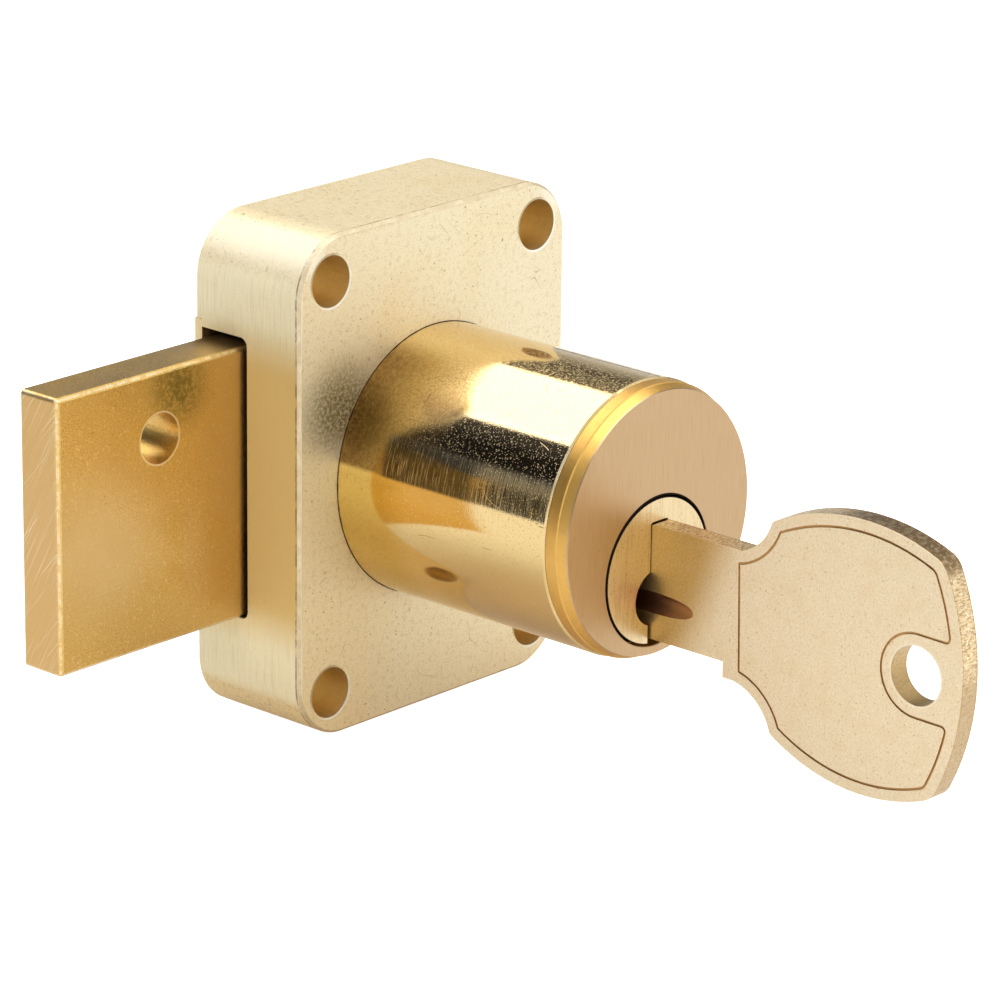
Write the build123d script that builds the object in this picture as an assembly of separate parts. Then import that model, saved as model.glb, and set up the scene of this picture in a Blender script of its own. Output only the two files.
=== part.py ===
from build123d import *
import os
from math import acos, cos, pi, radians, sin, sqrt

# A rim-mounted cabinet door lock in brass: a case screwed to the back of the door, a dead bolt
# that slides out of its left side, and a pin-tumbler cylinder that comes through the door.
# Millimetres. The origin is on the cylinder's axis in the plane of the case's front face, which
# lies against the door. +X is right seen from the key's side, +Y goes back, +Z is up.
# The bolt is thrown and the key is drawn part of the way out of the plug.

# Case
CASE_W = 30.7
CASE_H = 41.3
CASE_T = 11.8
CASE_CORNER_R = 4.95
CASE_EDGE = 0.25
CASE_BACK_EDGE = 0.5
FIXING_SIDE_IN = 3.48
FIXING_END_IN = 3.69
FIXING_R = 2.1
FRONT_WALL = 3.9
SEAT_DEPTH = 1.8
END_WALL = 1.9
CUTTER_R = 1.5
MOUTH_DEPTH = 1.4
MOUTH_FRONT_GAP = 0.4
MOUTH_TOP_GAP = 0.7
MOUTH_LOW_GAP = 0.2
MOUTH_CORNER_R = 0.7
POCKET_GAP = 1.25

# Cover plate, let into the back of the case
PLATE_T = 0.8
PLATE_INSET = 0.22
PLATE_LAND = 2.36
PLATE_END = 1.2
PLATE_EDGE_R = 0.8
TAB_W = 9.0
TAB_RISE = 3.5
RIB_W = 1.6
RIB_Z = 7.0
RIB_END = 4.0

# Bolt
BOLT_REACH = 19.83
BOLT_IN_PLATE = 1.3
BOLT_T = 4.3
BOLT_Z = -0.05
BOLT_FRONT_Y = 6.15
BOLT_EDGE = 0.35
BOLT_CORNER_R = 0.4
GUIDE_FIT = 0.05
BOLT_TAIL = 6.8
BOLT_TAIL_R = 2.0
BOLT_EYE_R = 2.05
BOLT_EYE_INSET = 10.75
BOLT_EYE_DROP = 5.46
THROW = 12.7

# Cylinder
SLEEVE_R = 11.11
SLEEVE_WALL = 0.99
SLEEVE_L = 21.8
SLEEVE_SEAT = 0.8
SLEEVE_SEAT_FIT = 0.05
SLEEVE_BEVEL = 0.15
SHELL_FIT = 0.03
HEAD_L = 1.95
HEAD_GAP = 0.05
HEAD_R = 10.97
BAND_L = 1.0
BAND_STEP = 0.09
FACE_R = 10.6
FACE_BEVEL = 0.06

# Plug
PLUG_Z = -3.88
PLUG_HOLE_R = 5.7
COLLAR_HOLE_R = 6.05
COLLAR_L = 1.4
PLUG_FIT = 0.06
COLLAR_FIT = 0.15
PLUG_BEVEL = 0.08
PLUG_SUNK = 0.04
PLUG_END_PLAY = 0.06
TAIL_R = 3.6
TAIL_FLAT = 2.6
TAIL_FLAT_L = 1.2

# Key
KEY_T = 1.9
KEY_X = 0.12
KEY_DRAWN = 7.3
KEY_STOP_GAP = 0.1
BLADE_TOP = 0.1
BLADE_LOW = -9.24
SHOULDER_DROP = 1.3
TIP_PAST_LAST = 2.2
TIP_SHARE = 0.35
BOW_Z = -5.31
NECK_TOP_OUT = 0.3
NECK_LOW_OUT = 0.75
NECK_HALF = 5.19
NECK_SAG = 0.85
EAR_TOP_OUT = 4.35
EAR_TOP_HALF = 8.5
EAR_LOW_OUT = 4.95
EAR_LOW_HALF = 8.5
BOW_L = 22.9
CREST_IN = 10.2
CREST_HALF = 10.85
CORNER_IN = 2.3
CORNER_HALF = 9.33
BOW_TILT = 1.0
EAR_R = 0.6
BOW_CORNER_R = 1.9
KEY_EYE_IN = 4.3
KEY_EYE_R = 2.35
BORDER_IN = 0.88
BORDER_W = 0.2
BORDER_DEPTH = 0.12
BORDER_RING_R = 3.2
BORDER_START = 0.72
BORDER_CORNER_R = 0.5

# Keyway
KEYWAY_FIT = 0.07
KEYWAY_TOP_FIT = 0.12
KEYWAY_CORNER_R = 0.25
KEYWAY_FOOT = 0.15
KEYWAY_FOOT_H = 2.2
KEYWAY_END_PLAY = 0.35
GROOVE_Z = -6.2
GROOVE_R = 0.9
GROOVE_DEPTH = 0.65
GROOVE_START = 3.0
WHEEL_R = 14.0
WARD_FIT = 0.1
RELIEF_X = -0.3
RELIEF_Z = -6.0
RELIEF_R = 2.25
RELIEF_L = 7.5

# Pin stacks
PIN_COUNT = 5
PIN_R = 1.3
PIN_FIT = 0.04
PIN_PITCH = 3.4
PIN_FIRST = 8.5
CUT_FIRST = 0.6
CUT_STEP = 0.34
CUT_HALF = 0.6
CUT_LIFT = 0.11
PIN_TIP_R = 0.45
PIN_TIP_L = 0.9
PIN_BEVEL = 0.2
SHEAR_FIT = 0.04
DRIVER_L = 4.0
CHAMBER_PLAY = 0.2
SPRING_R = 0.95
SPRING_WIRE_R = 0.16
SPRING_TURNS = 4
SPRING_PLAY = 0.06

# Crank that the plug turns, and its pin in the bolt
TURN_DEG = 90.0
CRANK_T = 1.5
CRANK_PLAY = 0.1
HUB_R = 5.2
CRANK_END_R = 3.2
CRANK_PIN_R = 2.0
CRANK_RIVET_R = 1.3
CRANK_PIN_SHORT = 0.4
SLOT_FIT = 0.08
SLOT_END_PLAY = 0.4

# Screws
PLUG_SCREW_R = 1.25
PLUG_SCREW_HEAD_R = 2.3
PLUG_SCREW_L = 4.4
CYL_SCREW_R = 1.2
CYL_SCREW_HEAD_R = 2.2
CYL_SCREW_L = 8.0
CYL_SCREW_X = 6.0
CYL_SCREW_Z = 5.0
COVER_SCREW_R = 1.0
COVER_SCREW_HEAD_R = 1.8
COVER_SCREW_L = 6.0
COVER_SCREW_RISE = 1.9
SCREW_FIT = 0.03
SCREW_SUNK = 0.06
DRIVE_W = 0.5
DRIVE_DEPTH = 0.45

# One overrun lets every cut run clear of the face that it opens
OVER = 1.0

# Places worked out from the sizes above
CASE_LEFT = -CASE_W / 2
CASE_RIGHT = CASE_W / 2
FIXING_X = CASE_W / 2 - FIXING_SIDE_IN
FIXING_Z = CASE_H / 2 - FIXING_END_IN
BACK_Y = CASE_T
PLATE_HALF_H = FIXING_Z - FIXING_R - PLATE_LAND
PLATE_BACK_Y = BACK_Y - PLATE_INSET
PLATE_FRONT_Y = PLATE_BACK_Y - PLATE_T
BOLT_BACK_Y = BOLT_FRONT_Y + BOLT_T
BOLT_LOW = BOLT_Z - PLATE_HALF_H + BOLT_IN_PLATE
BOLT_TOP = BOLT_Z + PLATE_HALF_H - BOLT_IN_PLATE
BOLT_EYE_Z = BOLT_TOP - BOLT_EYE_DROP
BOLT_END_X = CASE_LEFT - BOLT_REACH
CHANNEL_Y = BOLT_FRONT_Y - GUIDE_FIT
SHELL_R = SLEEVE_R - SLEEVE_WALL - SHELL_FIT
HEAD_BACK_Y = -(SLEEVE_L + HEAD_GAP)
FACE_Y = HEAD_BACK_Y - HEAD_L
PLUG_FACE_Y = FACE_Y + PLUG_SUNK
COLLAR_Y = FACE_Y + COLLAR_L
PLUG_R = PLUG_HOLE_R - PLUG_FIT
PLUG_END_Y = SEAT_DEPTH - PLUG_END_PLAY
CRANK_FRONT_Y = FRONT_WALL + CRANK_PLAY
CRANK_BACK_Y = CRANK_FRONT_Y + CRANK_T
TAIL_END_Y = CRANK_FRONT_Y + TAIL_FLAT_L

# The crank swings evenly to both sides of straight up, so its throw is the chord of its turn
HALF_TURN = radians(TURN_DEG) / 2
CRANK_R = THROW / (2 * sin(HALF_TURN))
CRANK_PIN_X = -CRANK_R * sin(HALF_TURN)
CRANK_PIN_Z = PLUG_Z + CRANK_R * cos(HALF_TURN)
CRANK_PIN_TOP_Z = PLUG_Z + CRANK_R
# The bolt moves in step with the plug's angle, so the slot is wider by the most that the pin
# leads or lags a straight line between its two ends
STEADY = sin(HALF_TURN) / HALF_TURN
LEAD = CRANK_R * (sin(acos(STEADY)) - STEADY * acos(STEADY))

# The key's shoulder stops just short of the cylinder's face when the key is home
SHOULDER_Y = FACE_Y - KEY_STOP_GAP - KEY_DRAWN
KEY_LEFT = KEY_X - KEY_T / 2
KEY_RIGHT = KEY_X + KEY_T / 2
BLADE_L = PIN_FIRST + (PIN_COUNT - 1) * PIN_PITCH + TIP_PAST_LAST
KEYWAY_END_Y = FACE_Y - KEY_STOP_GAP + BLADE_L + KEYWAY_END_PLAY
GROOVE_X = KEY_LEFT + GROOVE_DEPTH - GROOVE_R
KEY_EYE_OUT = BOW_L - KEY_EYE_IN
CREST_OUT = BOW_L - CREST_IN
CORNER_OUT = BOW_L - CORNER_IN

# The bitting falls by one step at each pin towards the tip, so the bottom pins sink evenly as
# the key is drawn, and no cut ever lifts a pin on the way out
PIN_SLOPE = CUT_STEP / PIN_PITCH
CHAMBER_R = PIN_R + PIN_FIT
CHAMBER_LOW = BLADE_TOP - CUT_FIRST - (PIN_COUNT - 1) * CUT_STEP - PIN_SLOPE * BLADE_L - CHAMBER_PLAY
PIN_TOP_Z = PLUG_Z + sqrt(PLUG_HOLE_R**2 - PIN_R**2) - SHEAR_FIT
DRIVER_LOW_Z = PLUG_Z + PLUG_R + SHEAR_FIT
SPRING_LOW_Z = DRIVER_LOW_Z + DRIVER_L + SPRING_PLAY
SPRING_TOP_Z = sqrt(SHELL_R**2 - (SPRING_R + SPRING_WIRE_R) ** 2) - SPRING_PLAY


def across(sketch, y_from, y_to):
    """Extrude a sketch drawn in X and Z from one Y to another."""
    return extrude(Plane.XZ.offset(-y_from) * sketch, amount=y_from - y_to)


def sideways(sketch, x_from, x_to):
    """Extrude a sketch drawn in Y and Z from one X to another."""
    return extrude(Plane.YZ.offset(x_from) * sketch, amount=x_to - x_from)


def key_side(sketch, x_from, x_to):
    """Extrude a sketch drawn in (out, z) from one X to a lower one; out is 0 at the shoulder."""
    plane = Plane(origin=(x_from, SHOULDER_Y, 0), x_dir=(0, -1, 0), z_dir=(-1, 0, 0))
    return extrude(plane * sketch, amount=x_from - x_to)


def rod(radius, y_from, y_to, x=0, z=0):
    """A round bar along Y."""
    return across(Pos(x, z) * Circle(radius), y_from, y_to)


def oblong(x_from, x_to, z_from, z_to, corner_r):
    """A rectangle with round corners, drawn in X and Z between its sides."""
    shape = RectangleRounded(x_to - x_from, z_to - z_from, corner_r)
    return Pos((x_from + x_to) / 2, (z_from + z_to) / 2) * shape


def turned(points, z=0):
    """Revolve a profile of (radius, y) points about an axis along Y."""
    return Pos(0, 0, z) * revolve(make_face(Polyline(*points, close=True)), Axis.Y)


def screw(head_r, shank_r, length, y_top, x, z, fit=0.0):
    """A flat countersunk screw driven in from the back, or with a fit, the hole that takes it."""
    head_h = head_r - shank_r
    wide = head_r + fit
    thin = shank_r + fit
    tip = y_top - length - fit
    points = [(0, y_top), (wide, y_top), (thin, y_top - head_h), (thin, tip), (0, tip)]
    body = Pos(x, 0, 0) * turned(points, z)
    if fit:
        return body + rod(wide, y_top, y_top + OVER, x, z)
    drive = Pos(x, z) * Rectangle(DRIVE_W, 2 * wide + OVER)
    return body - across(drive, y_top - DRIVE_DEPTH, y_top + OVER)


def plate_outline(gap):
    """The cover plate's outline; its left end is flush with the case's side."""
    left = CASE_LEFT + gap
    right = CASE_RIGHT - PLATE_END - gap
    half = PLATE_HALF_H - gap
    tab_half = TAB_W / 2 - gap
    body = oblong(left - OVER, right, -half, half, PLATE_EDGE_R)
    tabs = oblong(-tab_half, tab_half, -half - TAB_RISE, half + TAB_RISE, PLATE_EDGE_R)
    outline = body + tabs
    cut_off = oblong(left - 2 * OVER, left, -CASE_H, CASE_H, OVER / 2)
    return outline if gap == 0 else outline - cut_off


def cover_screw_places():
    rise = PLATE_HALF_H + COVER_SCREW_RISE
    return [(0, rise), (0, -rise)]


def cylinder_screw_places():
    return [(CYL_SCREW_X, CYL_SCREW_Z), (-CYL_SCREW_X, CYL_SCREW_Z)]


def pin_y(index):
    return FACE_Y - KEY_STOP_GAP + PIN_FIRST + index * PIN_PITCH


def cut_z(index):
    return BLADE_TOP - CUT_FIRST - index * CUT_STEP


def make_case():
    block = across(RectangleRounded(CASE_W, CASE_H, CASE_CORNER_R), 0, BACK_Y)
    ends = block.faces().sort_by(Axis.Y)
    block = chamfer(ends[0].edges(), CASE_EDGE)
    block = chamfer(block.faces().sort_by(Axis.Y)[-1].edges(), CASE_BACK_EDGE)
    for x in (-FIXING_X, FIXING_X):
        for z in (-FIXING_Z, FIXING_Z):
            block -= rod(FIXING_R, -OVER, BACK_Y + OVER, x, z)
    # The sleeve and the shell stand in a stepped seat, and the plug's tail goes on through the wall
    block -= rod(SLEEVE_R + SLEEVE_SEAT_FIT, -OVER, SLEEVE_SEAT)
    block -= rod(SHELL_R + SHELL_FIT, -OVER, SEAT_DEPTH)
    block -= rod(TAIL_R + PLUG_FIT, 0, FRONT_WALL + OVER, 0, PLUG_Z)
    for x, z in cylinder_screw_places():
        top = FRONT_WALL - SCREW_SUNK
        block -= screw(CYL_SCREW_HEAD_R, CYL_SCREW_R, CYL_SCREW_L, top, x, z, SCREW_FIT)
    # The crank swings in a pocket in the floor of the bolt's channel
    pocket_half = CRANK_END_R + POCKET_GAP - CRANK_PIN_X
    pocket_low = PLUG_Z - HUB_R - POCKET_GAP
    pocket_top = CRANK_PIN_TOP_Z + CRANK_END_R + POCKET_GAP
    pocket = oblong(-pocket_half, pocket_half, pocket_low, pocket_top, CUTTER_R)
    block -= across(pocket, FRONT_WALL, BACK_Y + OVER)
    channel_end = CASE_RIGHT - END_WALL
    low = BOLT_LOW - GUIDE_FIT
    top = BOLT_TOP + GUIDE_FIT
    channel = oblong(CASE_LEFT - CASE_W, channel_end, low, top, CUTTER_R)
    block -= across(channel, CHANNEL_Y, BACK_Y + OVER)
    # The channel's mouth in the side is relieved in front of, above and below the bolt
    mouth_front = BOLT_FRONT_Y - MOUTH_FRONT_GAP
    mouth_low = BOLT_LOW - MOUTH_LOW_GAP
    mouth_top = BOLT_TOP + MOUTH_TOP_GAP
    mouth = oblong(mouth_front, BACK_Y + CASE_T, mouth_low, mouth_top, MOUTH_CORNER_R)
    block -= sideways(mouth, CASE_LEFT - OVER, CASE_LEFT + MOUTH_DEPTH)
    block -= across(plate_outline(0), PLATE_FRONT_Y, BACK_Y + OVER)
    for x, z in cover_screw_places():
        top = PLATE_BACK_Y - SCREW_SUNK
        block -= screw(COVER_SCREW_HEAD_R, COVER_SCREW_R, COVER_SCREW_L, top, x, z, SCREW_FIT)
    return block


def make_cover_plate():
    plate = across(plate_outline(GUIDE_FIT), PLATE_FRONT_Y, PLATE_BACK_Y)
    # Two ribs pressed into the plate keep the bolt against the channel's floor
    rib_left = CASE_LEFT + MOUTH_DEPTH + RIB_END
    rib_right = CASE_RIGHT - END_WALL - RIB_END
    for z in (-RIB_Z, RIB_Z):
        rib = oblong(rib_left, rib_right, z - RIB_W / 2, z + RIB_W / 2, RIB_W / 2 * cos(pi / 8))
        plate += across(rib, BOLT_BACK_Y + GUIDE_FIT, PLATE_FRONT_Y)
    for x, z in cover_screw_places():
        top = PLATE_BACK_Y - SCREW_SUNK
        plate -= screw(COVER_SCREW_HEAD_R, COVER_SCREW_R, COVER_SCREW_L, top, x, z, SCREW_FIT)
    return plate


def make_cover_screws():
    top = PLATE_BACK_Y - SCREW_SUNK
    places = cover_screw_places()
    return [screw(COVER_SCREW_HEAD_R, COVER_SCREW_R, COVER_SCREW_L, top, x, z) for x, z in places]


def make_cylinder_screws():
    top = FRONT_WALL - SCREW_SUNK
    places = cylinder_screw_places()
    return [screw(CYL_SCREW_HEAD_R, CYL_SCREW_R, CYL_SCREW_L, top, x, z) for x, z in places]


def make_sleeve():
    inner = SLEEVE_R - SLEEVE_WALL
    points = [
        (inner, SLEEVE_SEAT),
        (SLEEVE_R, SLEEVE_SEAT),
        (SLEEVE_R, SLEEVE_BEVEL - SLEEVE_L),
        (SLEEVE_R - SLEEVE_BEVEL, -SLEEVE_L),
        (inner, -SLEEVE_L),
    ]
    return turned(points)


def make_shell():
    band_y = HEAD_BACK_Y - BAND_L
    points = [
        (0, SEAT_DEPTH),
        (SHELL_R, SEAT_DEPTH),
        (SHELL_R, HEAD_BACK_Y),
        (HEAD_R, HEAD_BACK_Y),
        (HEAD_R, band_y),
        (HEAD_R - BAND_STEP, band_y - BAND_STEP),
        (FACE_R, FACE_Y),
        (0, FACE_Y),
    ]
    shell = turned(points)
    hole = [
        (0, SEAT_DEPTH + OVER),
        (PLUG_HOLE_R, SEAT_DEPTH + OVER),
        (PLUG_HOLE_R, COLLAR_Y),
        (COLLAR_HOLE_R, COLLAR_Y),
        (COLLAR_HOLE_R, FACE_Y + FACE_BEVEL),
        (COLLAR_HOLE_R + FACE_BEVEL, FACE_Y),
        (COLLAR_HOLE_R + FACE_BEVEL, FACE_Y - OVER),
        (0, FACE_Y - OVER),
    ]
    shell -= turned(hole, PLUG_Z)
    for index in range(PIN_COUNT):
        chamber = Cylinder(CHAMBER_R, SLEEVE_R, align=(Align.CENTER, Align.CENTER, Align.MIN))
        shell -= Pos(0, pin_y(index), 0) * chamber
    top = FRONT_WALL - SCREW_SUNK
    for x, z in cylinder_screw_places():
        shell -= screw(CYL_SCREW_HEAD_R, CYL_SCREW_R, CYL_SCREW_L, top, x, z, SCREW_FIT)
    return shell


def keyway():
    """The slot that the key goes into, less the ward that fills the key's groove."""
    left = KEY_LEFT - KEYWAY_FIT
    right = KEY_RIGHT + KEYWAY_FIT
    top = BLADE_TOP + KEYWAY_TOP_FIT
    low = PLUG_Z - COLLAR_HOLE_R - OVER
    foot_top = BLADE_LOW + KEYWAY_FOOT_H
    slot = oblong(left, right, low, top, KEYWAY_CORNER_R)
    foot = oblong(left - KEYWAY_FOOT, right, low, foot_top, KEYWAY_FOOT)
    start = PLUG_FACE_Y - OVER
    void = across(slot, start, KEYWAY_END_Y) + across(foot, start, KEYWAY_END_Y)
    ward = rod(GROOVE_R - WARD_FIT, FACE_Y + RELIEF_L, KEYWAY_END_Y, GROOVE_X, GROOVE_Z)
    void -= ward
    return void + rod(RELIEF_R, start, FACE_Y + RELIEF_L, RELIEF_X, RELIEF_Z)


def make_plug():
    collar_r = COLLAR_HOLE_R - COLLAR_FIT
    collar_end = COLLAR_Y - PLUG_FIT
    points = [
        (0, PLUG_FACE_Y),
        (collar_r - PLUG_BEVEL, PLUG_FACE_Y),
        (collar_r, PLUG_FACE_Y + PLUG_BEVEL),
        (collar_r, collar_end),
        (PLUG_R, collar_end),
        (PLUG_R, PLUG_END_Y),
        (TAIL_R, PLUG_END_Y),
        (TAIL_R, TAIL_END_Y),
        (0, TAIL_END_Y),
    ]
    plug = turned(points, PLUG_Z) - keyway()
    for index in range(PIN_COUNT):
        chamber = Cylinder(CHAMBER_R, SLEEVE_R, align=(Align.CENTER, Align.CENTER, Align.MIN))
        plug -= Pos(0, pin_y(index), CHAMBER_LOW) * chamber
    # Two flats on the tail turn the crank
    for side in (-1, 1):
        flat = oblong(TAIL_FLAT, TAIL_FLAT + TAIL_R, -TAIL_R, TAIL_R, OVER / 2)
        spare = across(Pos(0, PLUG_Z) * flat, FRONT_WALL, TAIL_END_Y + OVER)
        plug -= spare if side > 0 else mirror(spare, Plane.YZ)
    top = CRANK_BACK_Y - SCREW_SUNK
    hole = screw(PLUG_SCREW_HEAD_R, PLUG_SCREW_R, PLUG_SCREW_L, top, 0, PLUG_Z, SCREW_FIT)
    return plug - hole


def make_crank():
    hub = Pos(0, PLUG_Z) * Circle(HUB_R)
    end = Pos(CRANK_PIN_X, CRANK_PIN_Z) * Circle(CRANK_END_R)
    crank = across(make_hull(hub.edges() + end.edges()), CRANK_FRONT_Y, CRANK_BACK_Y)
    grip = Pos(0, PLUG_Z) * Circle(TAIL_R + SCREW_FIT)
    flats = 2 * (TAIL_FLAT + SCREW_FIT)
    grip &= Pos(0, PLUG_Z) * Rectangle(flats, 2 * HUB_R)
    crank -= across(grip, CRANK_FRONT_Y - OVER, TAIL_END_Y)
    crank -= rod(CRANK_RIVET_R, CRANK_FRONT_Y - OVER, CRANK_BACK_Y + OVER, CRANK_PIN_X, CRANK_PIN_Z)
    top = CRANK_BACK_Y - SCREW_SUNK
    return crank - screw(PLUG_SCREW_HEAD_R, PLUG_SCREW_R, PLUG_SCREW_L, top, 0, PLUG_Z, SCREW_FIT)


def make_crank_pin():
    points = [
        (0, CRANK_FRONT_Y),
        (CRANK_RIVET_R, CRANK_FRONT_Y),
        (CRANK_RIVET_R, CRANK_BACK_Y),
        (CRANK_PIN_R, CRANK_BACK_Y),
        (CRANK_PIN_R, BOLT_BACK_Y - CRANK_PIN_SHORT - PIN_BEVEL),
        (CRANK_PIN_R - PIN_BEVEL, BOLT_BACK_Y - CRANK_PIN_SHORT),
        (0, BOLT_BACK_Y - CRANK_PIN_SHORT),
    ]
    return Pos(CRANK_PIN_X, 0, 0) * turned(points, CRANK_PIN_Z)


def make_plug_screw():
    top = CRANK_BACK_Y - SCREW_SUNK
    return screw(PLUG_SCREW_HEAD_R, PLUG_SCREW_R, PLUG_SCREW_L, top, 0, PLUG_Z)


def make_bolt():
    outline = oblong(BOLT_END_X, BOLT_TAIL + CRANK_PIN_X, BOLT_LOW, BOLT_TOP, BOLT_CORNER_R)
    bolt = across(outline, BOLT_FRONT_Y, BOLT_BACK_Y)
    tail = oblong(BOLT_END_X - CASE_W, BOLT_TAIL + CRANK_PIN_X, BOLT_LOW, BOLT_TOP, BOLT_TAIL_R)
    bolt &= across(tail, BOLT_FRONT_Y, BOLT_BACK_Y)
    ends = bolt.faces().sort_by(Axis.Y)
    bolt = chamfer(ends[0].edges() + ends[-1].edges(), BOLT_EDGE)
    eye_x = BOLT_END_X + BOLT_EYE_INSET
    bolt -= rod(BOLT_EYE_R, 0, BACK_Y + OVER, eye_x, BOLT_EYE_Z)
    # The crank's pin rises and falls in an upright slot while it carries the bolt along
    half = CRANK_PIN_R + LEAD + SLOT_FIT
    low = CRANK_PIN_Z - CRANK_PIN_R - SLOT_END_PLAY
    top = CRANK_PIN_TOP_Z + CRANK_PIN_R + SLOT_END_PLAY
    slot = oblong(CRANK_PIN_X - half, CRANK_PIN_X + half, low, top, CRANK_PIN_R)
    return bolt - across(slot, 0, BACK_Y + OVER)


def blade_outline():
    """The blade in (out, z), where out runs from the shoulder towards the bow."""
    points = [(NECK_LOW_OUT + NECK_HALF, BLADE_TOP)]
    points.append((CUT_HALF + CUT_FIRST - PIN_FIRST, BLADE_TOP))
    for index in range(PIN_COUNT):
        out = -(PIN_FIRST + index * PIN_PITCH)
        points.append((out + CUT_HALF, cut_z(index)))
        points.append((out - CUT_HALF, cut_z(index)))
    last_z = cut_z(PIN_COUNT - 1)
    nose = (last_z - BLADE_LOW) * TIP_SHARE
    points.append((-BLADE_L, last_z - (TIP_PAST_LAST - CUT_HALF)))
    points.append((-BLADE_L, BLADE_LOW + nose))
    points.append((-BLADE_L + nose, BLADE_LOW))
    points.append((0, BLADE_LOW))
    points.append((0, BLADE_LOW - SHOULDER_DROP))
    points.append((NECK_LOW_OUT + NECK_HALF, BLADE_LOW - SHOULDER_DROP))
    return make_face(Polyline(*points, close=True))


def hung(sketch):
    """Place a sketch drawn about the bow's middle line, which hangs a little low on the blade."""
    return Pos(NECK_LOW_OUT, BOW_Z) * Rot(0, 0, -BOW_TILT) * Pos(-NECK_LOW_OUT, 0) * sketch


def bow_outline():
    """The bow in (out, z) about its middle line; its upper ear stands nearer the lock."""
    neck = (NECK_TOP_OUT, NECK_HALF)
    ear = (EAR_TOP_OUT, EAR_TOP_HALF)
    corner = (CORNER_OUT, CORNER_HALF)
    low_corner = (CORNER_OUT, -CORNER_HALF)
    low_ear = (EAR_LOW_OUT, -EAR_LOW_HALF)
    low_neck = (NECK_LOW_OUT, -NECK_HALF)
    sides = [
        SagittaArc(ear, neck, NECK_SAG),
        ThreePointArc(ear, (CREST_OUT, CREST_HALF), corner),
        ThreePointArc(corner, (BOW_L, 0), low_corner),
        ThreePointArc(low_corner, (CREST_OUT, -CREST_HALF), low_ear),
        SagittaArc(low_neck, low_ear, NECK_SAG),
        Line(low_neck, neck),
    ]
    face = make_face(Wire([edge for side in sides for edge in side.edges()]))
    face = fillet([v for v in face.vertices() if v.X > CREST_OUT], BOW_CORNER_R)
    return fillet([v for v in face.vertices() if NECK_LOW_OUT < v.X < CREST_OUT], EAR_R)


def bow_panel(gap):
    """The part of the bow that the engraved line goes round, smaller all round by a gap."""
    ring_r = BORDER_RING_R + gap
    panel = offset(bow_outline(), -BORDER_IN - gap)
    panel &= Pos(BORDER_START + gap + BOW_L, 0) * Rectangle(2 * BOW_L, 2 * CREST_HALF)
    panel -= Pos(KEY_EYE_OUT, 0) * Circle(ring_r)
    panel -= Pos(KEY_EYE_OUT + BOW_L, 0) * Rectangle(2 * BOW_L, 2 * ring_r)
    ends = [v for v in panel.vertices() if v.X > KEY_EYE_OUT + BORDER_W and abs(v.Y) < ring_r + BORDER_W]
    return fillet(ends, BORDER_CORNER_R - gap)


def make_key():
    key = key_side(blade_outline() + hung(bow_outline()), KEY_RIGHT, KEY_LEFT)
    eye = hung(Pos(KEY_EYE_OUT, 0) * Circle(KEY_EYE_R))
    key -= key_side(eye, KEY_RIGHT + OVER, KEY_LEFT - OVER)
    border = hung(bow_panel(0) - bow_panel(BORDER_W))
    key -= key_side(border, KEY_LEFT + BORDER_DEPTH, KEY_LEFT)
    key -= key_side(border, KEY_RIGHT, KEY_RIGHT - BORDER_DEPTH)
    # The groove is milled from the tip with a round-edged wheel, which leaves a pointed run-out
    wheel_x = KEY_LEFT + GROOVE_DEPTH - WHEEL_R
    run_out = sqrt(WHEEL_R**2 - (WHEEL_R - GROOVE_DEPTH) ** 2)
    full_y = SHOULDER_Y + GROOVE_START + run_out
    key -= rod(GROOVE_R, full_y, SHOULDER_Y + BLADE_L + OVER, GROOVE_X, GROOVE_Z)
    return key - Pos(wheel_x, full_y, GROOVE_Z) * Torus(WHEEL_R - GROOVE_R, GROOVE_R)


def make_bottom_pin(index):
    """A bottom pin: its tip sits in its cut when the key is home, and it has sunk as the key came."""
    sunk = PIN_SLOPE * KEY_DRAWN
    low = cut_z(index) + CUT_LIFT - sunk
    top = PIN_TOP_Z - sunk
    points = [
        (0, low),
        (PIN_TIP_R, low),
        (PIN_R, low + PIN_TIP_L),
        (PIN_R, top),
        (0, top),
    ]
    profile = Plane.XZ * make_face(Polyline(*points, close=True))
    return Pos(0, pin_y(index), 0) * revolve(profile, Axis.Z)


def make_driver_pin(index):
    """A driver pin: it stands on the shear line, clear of the plug."""
    pin = Cylinder(PIN_R, DRIVER_L, align=(Align.CENTER, Align.CENTER, Align.MIN))
    pin = chamfer(pin.edges().filter_by(GeomType.CIRCLE).sort_by(Axis.Z)[0], PIN_BEVEL)
    return Pos(0, pin_y(index), DRIVER_LOW_Z) * pin


def make_pin_spring(index):
    """A coil spring that the sleeve keeps pressed on its driver pin."""
    height = SPRING_TOP_Z - SPRING_LOW_Z - 2 * SPRING_WIRE_R
    path = Helix(height / SPRING_TURNS, height, SPRING_R)
    coil = sweep(Plane(path @ 0, z_dir=path % 0) * RegularPolygon(SPRING_WIRE_R, 4), path)
    return Pos(0, pin_y(index), SPRING_LOW_Z + SPRING_WIRE_R) * coil


def main():
    pieces = {
        "case": make_case(),
        "cover_plate": make_cover_plate(),
        "cover_screws": Compound(make_cover_screws()),
        "cylinder_sleeve": make_sleeve(),
        "cylinder_shell": make_shell(),
        "cylinder_screws": Compound(make_cylinder_screws()),
        "plug": make_plug(),
        "crank": make_crank(),
        "crank_pin": make_crank_pin(),
        "plug_screw": make_plug_screw(),
        "bolt": make_bolt(),
        "key": make_key(),
    }
    for index in range(PIN_COUNT):
        pieces[f"bottom_pin_{index + 1}"] = make_bottom_pin(index)
        pieces[f"driver_pin_{index + 1}"] = make_driver_pin(index)
        pieces[f"pin_spring_{index + 1}"] = make_pin_spring(index)
    os.makedirs("parts", exist_ok=True)
    for name, piece in pieces.items():
        export_step(piece, f"parts/{name}.step")


main()
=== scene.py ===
from math import cos, degrees, radians, sin

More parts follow.
